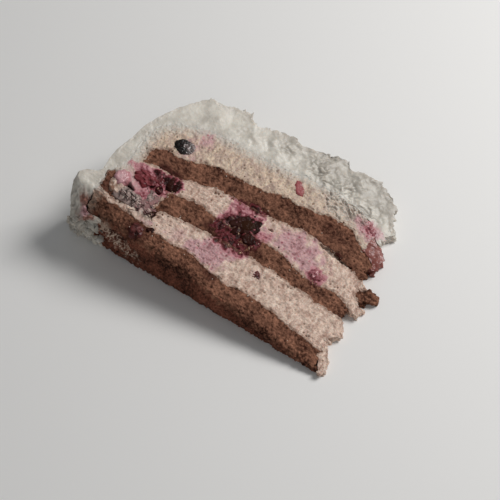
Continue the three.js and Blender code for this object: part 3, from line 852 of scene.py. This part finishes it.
def wornCoat(moved, spot, points, run, rise, turn, across):
    # The coat's foot is drawn in where it meets the floor, its end under the base is ragged, and its outer
    # edge has teeth on the top of the cake
    moved[:, 1] += torte["footTuck"] * smoothStep(10.0, 0.0, spot[:, 1]) * (1.0 - turn) ** 2
    ragged = coat["ragged"] * layeredLumps(points, coat["raggedSize"], 3, 205, 0.7) - 3.0 * turn
    moved[:, 0] += smoothStep(0.05, 0.0, run) * ragged
    teeth = np.maximum(layeredLumps(points, coat["toothSize"], 3, 71, 0.6), 0.0) - 0.25
    edge = smoothStep(coat["toothFrom"], 1.0, rise) * smoothStep(66.0, 78.0, spot[:, 1])
    return moved + across * (edge * teeth * coat["tooth"] / np.linalg.norm(across, axis=1))[:, None]


def makeLayer(name, material, surface):
    # Each point lies between the lower and the upper line, strays, is turned round the axis, lowered by the
    # dip and moved along the surface's outward direction by the relief. The surface's function gives the
    # relief, the dip and the fields at each point.
    layer = layers[name]
    lower = smoothLine(layer["lower"])
    upper = smoothLine(layer["upper"])
    step = layer.get("step", torte["gridStep"])
    runs = np.linspace(0.0, 1.0, int(max(lower.length, upper.length) / step) + 1)
    thick = np.linalg.norm(upper(runs) - lower(runs), axis=1)
    rises = np.linspace(0.0, 1.0, int(np.percentile(thick, 80) / step) + 1)
    (run, rise, turn), quads = boxLattice(runs, rises, np.linspace(0.0, 1.0, layer["turns"] + 1))
    across = upper(run) - lower(run)
    spot = lower(run) + across * rise[:, None]
    points = placePoints(spot, turn)
    fromEdge = np.minimum(np.minimum(rise, 1.0 - rise) * np.linalg.norm(across, axis=1),
                          np.minimum(run, 1.0 - run) * lower.length)
    wander = torte["wander"] * layer.get("rougher", 1.0)
    if name == "whippedCoat":
        wander = wander * (1.0 - 0.75 * rise * smoothStep(74.0, 62.0, spot[:, 1]))  # the rim's side is smooth
    moved = strayed(spot, points, wander, fromEdge)
    if name == "whippedCoat":
        moved = wornCoat(moved, spot, points, run, rise, turn, across)
    points = placePoints(moved, turn)
    top = placePoints(moved, 1.0)[:, 2]
    onFace = smoothStep(0.86, 0.97, points[:, 2] / np.maximum(top, 0.1))
    if name == "spongeBottom":
        points = wornBase(points, top)
    height, dip, fields = surface(name, spot, points, onFace)
    points[:, 2] -= dip * turn
    out = outward(points, quads)
    onCut = (turn == 1.0) & (spot[:, 1] > 3.0) & (name != "compoteTip")
    out[onCut] = faceFrame()[2]
    corners = points + out * height[:, None]
    corners[:, 2] = np.where(turn == 0.0, 0.0, np.maximum(corners[:, 2], torte["floorGap"]))
    makeMesh(name, corners, [quads], fields, material, [layer["node"]],
             onCut & ((run % 1.0 == 0.0) | (rise % 1.0 == 0.0)))


spongeMaterial = cocoaSponge()
creamMaterial = setCream()
whippedMaterial = whippedCream()
for name in layers:
    if name.startswith("sponge"):
        makeLayer(name, spongeMaterial, spongeSurface)
    if name.startswith("cream"):
        makeLayer(name, creamMaterial, creamSurface)
makeLayer("whippedCoat", whippedMaterial, coatSurface)
print("layers made")


# Berries: thin waxy skin over wet flesh. The eye gets deep colour with small sharp highlights. Each one is
# a ball, with lobes or wrinkles, flattened above the cut face by the knife: flat is what still stands up.

berries = {
    "brambleCentre": {"spot": (-50.9, 35.9), "size": (17.0, 10.6, 8.0), "sink": 1.7, "flat": 0.5, "lean": 43,
                      "uneven": 0.24, "lobes": 34, "lobe": 0.15, "node": "bramble_centre", "kind": "dark"},
    "brambleFacet": {"spot": (-49.9, 36.2), "size": (9.4, 7.0, 4.6), "sink": 1.1, "flat": 0.75, "lean": 25,
                     "uneven": 0.08, "kind": "sliced"},
    "brambleLobe": {"spot": (-45.7, 31.0), "size": (7.6, 6.4, 5.0), "sink": 1.1, "flat": 0.6, "lean": 30,
                    "uneven": 0.26, "lobes": 9, "lobe": 0.12, "kind": "dark"},
    "brambleRim": {"spot": (-85.2, 30.6), "size": (7.4, 7.8, 7.0), "sink": 1.8, "flat": 0.6, "lean": 15,
                   "uneven": 0.3, "lobes": 14, "lobe": 0.1, "node": "bramble_rim", "kind": "dark"},
    "brambleBase": {"spot": (-83.8, 3.4), "size": (7.4, 7.2, 6.0), "sink": 1.7, "flat": 0.8, "lean": 10,
                    "uneven": 0.2, "lobes": 12, "lobe": 0.24, "node": "bramble_base", "kind": "wine"},
    "currantLower": {"spot": (-34.3, 19.6), "size": (5.0, 4.8, 4.6), "sink": 1.6, "flat": 0.35, "lean": 0,
                     "uneven": 0.12, "lobes": 7, "lobe": 0.3, "node": "currant_lower", "kind": "wine"},
    "currantBase": {"spot": (-79.6, 7.0), "size": (4.2, 4.0, 4.0), "sink": 1.0, "flat": 0.7, "lean": 0,
                    "uneven": 0.12, "lobes": 6, "lobe": 0.3, "node": "currant_base", "kind": "dark"},
    "bilberryUpper": {"spot": (-92.4, 49.4), "size": (10.0, 8.6, 7.0), "sink": 1.4, "flat": 0.8, "lean": 15,
                      "uneven": 0.12, "wrinkle": 0.5, "node": "bilberry_upper", "kind": "bilberry"},
    "bilberryCrushed": {"spot": (-92.8, 13.6), "size": (16.0, 9.0, 6.0), "sink": 1.2, "flat": 0.4, "lean": 2,
                        "uneven": 0.5, "wrinkle": 0.5, "node": "bilberry_crushed", "kind": "pale"},
    "currantPale": {"spot": (-88.6, 19.6), "size": (7.4, 6.0, 6.0), "sink": 1.7, "flat": 0.4, "lean": -30,
                    "uneven": 0.4, "wrinkle": 0.4, "node": "currant_pale", "kind": "pale"},
    "raspberryCluster": {"spot": (-93.6, 25.8), "size": (13.6, 8.6, 8.0), "sink": 1.7, "flat": 0.9, "lean": 8,
                         "uneven": 0.35, "lobes": 70, "lobe": 0.2, "node": "raspberry_cluster",
                         "kind": "red"},
    "raspberryBit": {"spot": (-14.8, 36.6), "size": (5.2, 6.8, 4.4), "sink": 1.5, "flat": 0.4, "lean": 10,
                     "uneven": 0.3, "lobes": 16, "lobe": 0.3, "node": "raspberry_bit", "kind": "rose"},
    "fruitPiece": {"spot": (-43.4, 66.4), "size": (4.4, 8.2, 4.0), "sink": 0.7, "flat": 0.6, "lean": 45,
                   "uneven": 0.12, "node": "fruit_piece", "kind": "slab"},
    "fruitTip": {"spot": (-9.6, 71.0), "size": (8.4, 4.8, 4.0), "sink": 1.4, "flat": 0.5, "lean": -30,
                 "uneven": 0.35, "lobes": 18, "lobe": 0.24, "node": "fruit_tip", "kind": "rose"},
    "raspberryRim": {"spot": (-103.4, 19.6), "size": (7.4, 8.4, 7.0), "sink": 1.6, "flat": 1.5, "lean": 20,
                     "uneven": 0.16, "node": "raspberry_rim", "kind": "pink"},
}
# Far is the colour of the end towards the slice's tip. The grain is in metres and coarser than real flesh,
# so that it shows.
# Crease is the colour of the creases: partly painted shade, partly juice gathered in them.
looks = {
    "dark": {"name": "bramble flesh, cut", "slot": "dark_berry", "skin": "#2f1611", "crease": "#2a0d0a",
             "cut": "#3c2019", "far": "#190b08", "rough": 0.4, "grain": 0.0014, "gloss": 0.04},
    "sliced": {"name": "bramble core, sliced flat", "slot": "dark_berry", "skin": "#331c12",
               "crease": "#331c12", "cut": "#361f14", "far": "#2d170e", "rough": 0.5, "grain": 0.003,
               "gloss": 0.02},
    "wine": {"name": "bramble flesh, mashed", "slot": "dark_berry", "skin": "#5a2b28", "crease": "#280f0c",
             "cut": "#875a57", "far": "#5a2b28", "rough": 0.4, "grain": 0.0014, "gloss": 0.1},
    "bilberry": {"name": "bilberry, burst", "slot": "dark_berry", "skin": "#1b1412", "crease": "#0b0706",
                 "cut": "#2a211f", "far": "#9c8b88", "rough": 0.25, "grain": 0.0014, "gloss": 0.25},
    "pale": {"name": "bilberry pulp, bleached", "slot": "pale_berry", "skin": "#83706a", "crease": "#150d0a",
             "cut": "#c4ada4", "far": "#936363", "rough": 0.4, "grain": 0.0012, "gloss": 0.12},
    "rose": {"name": "raspberry pulp, soaked in cream", "slot": "red_berry", "skin": "#b67b7e",
             "crease": "#74353b", "cut": "#cd9b9b", "far": "#8c4a50", "rough": 0.36, "grain": 0.0014,
             "gloss": 0.15},
    "slab": {"name": "fruit piece, cut", "slot": "red_berry", "skin": "#a2585a", "crease": "#8c4546",
             "cut": "#aa6464", "far": "#8d524e", "rough": 0.4, "grain": 0.003, "gloss": 0.12},
    "red": {"name": "raspberry pulp, crushed", "slot": "red_berry", "skin": "#702a2e", "crease": "#3c0f0f",
            "cut": "#9c5459", "far": "#380c0d", "rough": 0.34, "grain": 0.0014, "gloss": 0.12},
    "pink": {"name": "raspberry in cream, smeared", "slot": "pink_berry", "skin": "#c08b90",
             "crease": "#9a6066", "cut": "#dbb0b2", "far": "#b07478", "rough": 0.34, "grain": 0.003,
             "gloss": 0.3},
    "seed": {"name": "raspberry seeds", "slot": "red_berry", "skin": "#a4826a", "crease": "#7a5a3c",
             "cut": "#a4826a", "far": "#a4826a", "rough": 0.4, "grain": 0.0008, "gloss": 0.2},
    "compote": {"name": "fruit compote, set", "slot": "compote", "skin": "#834c44", "crease": "#5f342f",
                "cut": "#b78078", "far": "#834c44", "rough": 0.38, "grain": 0.0018, "gloss": 0.18},
}


def lobeCentres(count, seed):
    # Directions spread evenly on a spiral round a ball, each nudged a little
    index = np.arange(count) + 0.5
    level = 1.0 - 2.0 * index / count
    around = index * math.pi * (3.0 - math.sqrt(5.0))
    ring = np.sqrt(1.0 - level ** 2)
    centres = np.stack([ring * np.cos(around), ring * np.sin(around), level], -1)
    centres += np.random.default_rng(seed).normal(0.0, 0.13, centres.shape)
    return centres / np.linalg.norm(centres, axis=1, keepdims=True)


def berryCreases(berry, directions, half, seed):
    # How deep each direction lies between lobes, each a round cap, or in a wrinkle, where noise is near zero
    if "lobes" in berry:
        nearest = np.arccos(np.clip(directions @ lobeCentres(berry["lobes"], seed).T, -1, 1)).min(axis=1)
        width = 2.3 / math.sqrt(berry["lobes"])
        return 1.0 - np.sqrt(np.clip(1.0 - (nearest / width) ** 2, 0.0, 1.0)), berry["lobe"]
    if "wrinkle" in berry:
        fold = np.abs(layeredLumps(directions * half, (3.0, 1.8, 3.0), 3, seed))
        bunched = smoothStep(-0.35, 0.1, lumps(directions * half, 4.5, seed + 1))
        return smoothStep(0.2, 0.04, fold) * bunched, berry["wrinkle"] / half.min()
    return np.zeros(len(directions)), 0.0


def makeBerry(name, material):
    # The ball's radius strays and falls in its creases. It is stretched to size, turned, flattened above
    # the cut face by a tanh curve, and set into the face.
    berry = berries[name]
    seed = 81 + list(berries).index(name)
    directions, faces = ballGrid(72, 144)
    half = np.array(berry["size"]) / 2.0
    crease, depth = berryCreases(berry, directions, half, seed)
    radius = 1.0 + berry["uneven"] * layeredLumps(directions, 0.9, 3, seed) - depth * crease
    local = directions * radius[:, None] * half
    side = local[:, 0] / half[0]
    lean = math.radians(berry["lean"])
    local = local @ np.array([[math.cos(lean), math.sin(lean), 0], [-math.sin(lean), math.cos(lean), 0],
                              [0, 0, 1]])
    local[:, 2] -= berry["sink"]
    proud = np.maximum(local[:, 2], 0.0)
    local[:, 2] += berry["flat"] * np.tanh(proud / berry["flat"]) - proud
    corners = local @ faceFrame() + placePoints(np.array(berry["spot"], float), 1.0)
    grainy = smoothStep(-2.0, 0.0, local[:, 2]) * layeredLumps(corners, 1.2, 2, 83)
    corners += 0.1 * grainy[:, None] * directions
    corners[:, 2] = np.maximum(corners[:, 2], torte["floorGap"])
    stray = layeredLumps(corners, 2.4, 2, 87)
    # The creases are painted darker: partly their shade, partly juice gathered in them.
    fields = {"hollowShade": crease, "cut": smoothStep(0.3, 1.3, proud),
              "far": smoothStep(0.0, 0.45, side + stray * 0.4)}
    nodes = [berry["node"]] if "node" in berry else []
    makeMesh(name, corners, faces, fields, material, nodes)


def berryFlesh(kind):
    # Skin that turns blotchy into the cut colour where the berry is cut, and into the far colour at its far
    # end, with creases darkened: partly painted shade, partly juice gathered there. The same blotches stand
    # up.
    look = looks[kind]
    material, tree, shader, place = newMaterial(look["name"], {
        "Roughness": look["rough"], "Specular IOR Level": look["gloss"], "Coat Weight": look["gloss"],
        "Coat Roughness": 0.08, "Subsurface Weight": 0.1, "Subsurface Scale": 0.0015,
        "Subsurface Radius": (1.0, 0.35, 0.35)})
    spots = addNode(tree, "TexNoise", {"Scale": 1.0 / look["grain"], "Detail": 4.0, "Roughness": 0.65},
                    {"Vector": place})
    spread = addNode(tree, "MapRange", {"From Min": 0.4, "From Max": 0.62}, {"Value": spots.outputs["Fac"]})
    opened = addNode(tree, "Math", {"operation": "MULTIPLY"},
                     {0: spread.outputs[0], 1: readField(tree, "cut")})
    colour = addNode(tree, "Mix", {"data_type": "RGBA", 6: linear(look["skin"]), 7: linear(look["cut"])},
                     {0: opened.outputs[0]}).outputs[2]
    patch = addNode(tree, "Math", {"operation": "MULTIPLY_ADD", 1: 0.6, 2: 0.3}, {0: spread.outputs[0]})
    share = addNode(tree, "Math", {"operation": "MULTIPLY"},
                    {0: readField(tree, "far"), 1: patch.outputs[0]})
    colour = addNode(tree, "Mix", {"data_type": "RGBA", 7: linear(look["far"])},
                     {0: share.outputs[0], 6: colour}).outputs[2]
    colour = tint(tree, colour, {"hollowShade": look["crease"]})
    finishLook(tree, shader, colour, spots.outputs["Fac"], 0.35, 0.0003)
    return material


fleshes = {kind: berryFlesh(kind) for kind in looks}
for name, berry in berries.items():
    makeBerry(name, fleshes[berry["kind"]])
makeLayer("compoteTip", fleshes["compote"], compoteSurface)
print("berries and compote made")


# Crumbs, seeds, flakes and shreds that lie on the slice: how many at most, their smallest and largest half
# width, and how far they are stretched

bits = {
    "spongeCrumbs": {"count": 60, "size": (0.18, 0.42), "stretch": (1.0, 1.0, 0.8), "slot": "cocoa_sponge"},
    "creamFlecks": {"count": 40, "size": (0.15, 0.35), "stretch": (1.3, 0.8, 0.6), "slot": "berry_cream"},
    "berrySeeds": {"count": 24, "size": (0.3, 0.5), "stretch": (1.4, 0.8, 0.8), "slot": "red_berry"},
    "footFlakes": {"count": 90, "size": (0.5, 1.6), "stretch": (1.3, 0.9, 0.6), "slot": "whipped_cream",
                   "along": (-117.0, -99.0), "up": (-3.0, -1.6), "turns": (0.02, 0.45)},
    "skinShreds": {"count": 24, "size": (0.2, 0.4), "stretch": (6.0, 0.4, 0.4), "slot": "dark_berry",
                   "bunches": ((-95.6, 12.4), (-87.2, 12.2)), "reach": (2.4, 1.1)},
}
scatter = {"low": (-104.0, 1.0), "high": (-1.0, 66.0), "tries": 7000}   # chance spots over the cut face


def makeBits(name, spots, turns, material):
    # One coarse ball for each bit, its corners moved by chance, joined into one mesh
    bit = bits[name]
    spots = spots[:bit["count"]]
    dice = np.random.default_rng(len(name))
    directions, faces = ballGrid(5, 7)
    shape = (len(spots), len(directions), 1)
    corners = directions * dice.uniform(0.7, 1.3, shape) * dice.uniform(0.7, 1.3, (len(spots), 1, 3))
    corners *= dice.uniform(*bit["size"], (len(spots), 1, 1)) * np.array(bit["stretch"])
    spin = dice.uniform(0.0, 2.0 * np.pi, len(spots))[:, None]
    turned = np.stack([corners[..., 0] * np.cos(spin) - corners[..., 1] * np.sin(spin),
                       corners[..., 0] * np.sin(spin) + corners[..., 1] * np.cos(spin), corners[..., 2]], -1)
    corners = (turned @ faceFrame() + placePoints(spots, turns)[:, None]).reshape(-1, 3)
    corners[:, 2] = np.maximum(corners[:, 2], torte["floorGap"])
    step = (np.arange(len(spots)) * len(directions))[:, None, None]
    joined = [(part + step).reshape(-1, part.shape[1]) for part in faces]
    makeMesh(name, corners, joined, {}, material, [])


def looseSpots(seed):
    # Chance spots over the cut face, with their depths inside the sponges
    dice = np.random.default_rng(seed)
    spots = dice.uniform(scatter["low"], scatter["high"], (scatter["tries"], 2))
    inside = np.max([depthInside(spots, name) for name in layers if name.startswith("sponge")], axis=0)
    return spots, inside, dice.random(len(spots))


def makeCrumbs():
    # Sponge crumbs lie on the cream, most of them close to a sponge, and cream flecks lie on the sponges
    spots, inside, luck = looseSpots(7)
    makeBits("spongeCrumbs", spots[(inside < -0.1) & (luck < np.exp(inside))], 1.0, spongeMaterial)
    makeBits("creamFlecks", spots[(inside > 0.2) & (luck < np.exp(-inside / 1.5))], 1.0, creamMaterial)


def makeSeeds():
    # Seeds show in the crushed fruit
    spots = looseSpots(9)[0]
    wet = stained(spots, placePoints(spots, 1.0), pulp) > 0.6
    makeBits("berrySeeds", spots[wet], 1.0, fleshes["seed"])


def makeFlakes():
    # Flakes of dry cream hang at the foot, where the coat was torn from the plate
    flakes = bits["footFlakes"]
    dice = np.random.default_rng(11)
    turns = dice.uniform(*flakes["turns"], flakes["count"])
    along = dice.uniform(*flakes["along"], flakes["count"])
    up = dice.uniform(*flakes["up"], flakes["count"]) + torte["footTuck"] * (1.0 - turns) ** 2
    makeBits("footFlakes", np.stack([along, up], -1), turns, whippedMaterial)


def makeShreds():
    # Thin dark shreds of skin lie over the crushed bilberry, in two bunches and just above the cut face
    shreds = bits["skinShreds"]
    dice = np.random.default_rng(13)
    bunches = np.array(shreds["bunches"])[np.arange(shreds["count"]) % 2]
    spots = bunches + dice.normal(0.0, 1.0, (shreds["count"], 2)) * shreds["reach"]
    makeBits("skinShreds", spots, 1.04, fleshes["dark"])


makeCrumbs()
makeSeeds()
makeFlakes()
makeShreds()
print("crumbs, seeds, flakes and shreds made")


# Camera, floor and light

studio = {
    "elevation": 56.0, "azimuth": 34.5,     # degrees
    "distance": 550.0, "lens": 90.29, "sensor": 36.0,
    "aim": (-48.73, 35.80),                 # on the floor under this spot
    "key": ((0.34, 0.55, 0.66), 0.4, 6.7),      # metres, size in metres, watts
    "fill": ((0.45, -0.75, 0.55), 0.9, 1.1),
    "sky": 0.18, "skyColour": "#e8ecf0", "floorColour": "#f1efec",
}


def addCamera():
    # Stands back from the aim along the elevation and the azimuth, and looks at it
    data = bpy.data.cameras.new("camera")
    data.lens = studio["lens"]
    data.sensor_width = studio["sensor"]
    data.clip_start = 0.01
    camera = addObject("camera", data)
    tilt = math.radians(studio["elevation"])
    turn = math.radians(studio["azimuth"])
    target = np.append(np.array(studio["aim"]) - torte["middle"], 0.0)
    back = np.array([math.sin(turn) * math.cos(tilt), -math.cos(turn) * math.cos(tilt), math.sin(tilt)])
    camera.location = (target + back * studio["distance"]) * 0.001
    camera.rotation_euler = (math.radians(90.0) - tilt, 0.0, turn)
    bpy.context.scene.camera = camera


def addStudio():
    # A wide pale floor, a broad soft lamp behind the slice, a weaker one in front and an even sky
    mesh = bpy.data.meshes.new("floor")
    mesh.from_pydata([(-3, -3, 0), (3, -3, 0), (3, 3, 0), (-3, 3, 0)], [], [(0, 1, 2, 3)])
    paint = newMaterial("pale floor paint", {"Base Color": linear(studio["floorColour"]), "Roughness": 0.7})
    mesh.materials.append(paint[0])
    addObject("floor", mesh)
    for name in ("key", "fill"):
        spot, size, power = studio[name]
        data = bpy.data.lights.new(name, "AREA")
        data.size = size
        data.energy = power
        lamp = addObject(name, data)
        lamp.location = spot
        away = np.array(spot) / np.linalg.norm(spot)
        lamp.rotation_euler = (math.acos(away[2]), 0.0, math.atan2(away[1], away[0]) + math.radians(90.0))
    world = bpy.data.worlds.new("sky")
    bpy.context.scene.world = world
    world.use_nodes = True
    sky = world.node_tree.nodes["Background"]
    sky.inputs["Color"].default_value = linear(studio["skyColour"])
    sky.inputs["Strength"].default_value = studio["sky"]
    bpy.context.scene.view_settings.view_transform = "Standard"


addCamera()
addStudio()
print("camera and studio made")
